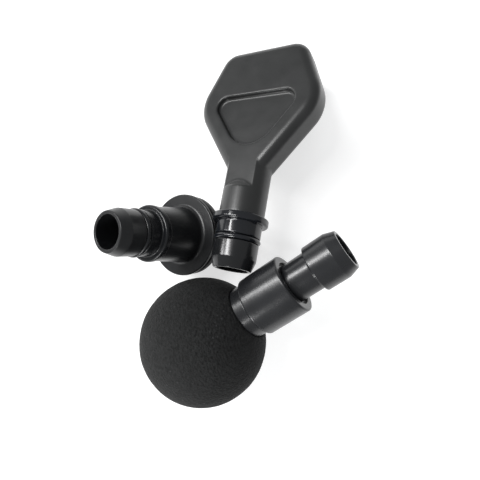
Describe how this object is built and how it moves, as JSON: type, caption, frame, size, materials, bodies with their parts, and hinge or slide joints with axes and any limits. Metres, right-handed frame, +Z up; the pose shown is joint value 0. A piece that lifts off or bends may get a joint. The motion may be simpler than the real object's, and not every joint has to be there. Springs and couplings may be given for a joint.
{
  "type": "massage gun head set",
  "caption": "Foam ball, flat disc and spade heads for a percussion massager, lying in a pile, each with the same hollow push-in plug.",
  "frame": {"origin": "on the table, under the middle of the pile's bounding box", "axes": "+Z up from the table, +Y from the foam ball towards the spade's end, +X to the side that the ball head's plug points to"},
  "size_m": [0.0971, 0.1516, 0.0559],
  "materials": {
    "foam_skin": "matte",
    "moulded_plastic": "satin",
    "satin_plastic": "satin",
    "blade_plastic": "satin",
    "pad_rubber": "matte",
    "gloss_rubber": "gloss",
    "screw_steel": "satin"
  },
  "bodies": {
    "spade_head": {"spade_blade": "blade_plastic", "spade_plug": "satin_plastic", "spade_sleeve": "gloss_rubber", "spade_ring_seal": "gloss_rubber", "spade_washer": "screw_steel", "spade_screw": "screw_steel"},
    "ball_head": {"ball_foam": "foam_skin", "ball_core": "moulded_plastic", "ball_base_ring": "moulded_plastic", "ball_collar": "moulded_plastic", "ball_plug": "moulded_plastic", "ball_washer": "screw_steel", "ball_screw": "screw_steel"},
    "flat_head": {"flat_pad": "pad_rubber", "flat_body": "satin_plastic", "flat_plug": "satin_plastic", "flat_sleeve": "gloss_rubber", "flat_ring_seal": "gloss_rubber", "flat_washer": "screw_steel", "flat_screw": "screw_steel"}
  },
  "joints": [
    {"name": "ball_head_lift", "type": "slide", "parent": "spade_head", "child": "ball_head", "axis": [0, 0, 1], "range_m": [0, 0.06]},
    {"name": "flat_head_lift", "type": "slide", "parent": "spade_head", "child": "flat_head", "axis": [-0.5486, 0.0211, 0.8358], "range_m": [0, 0.06]}
  ]
}
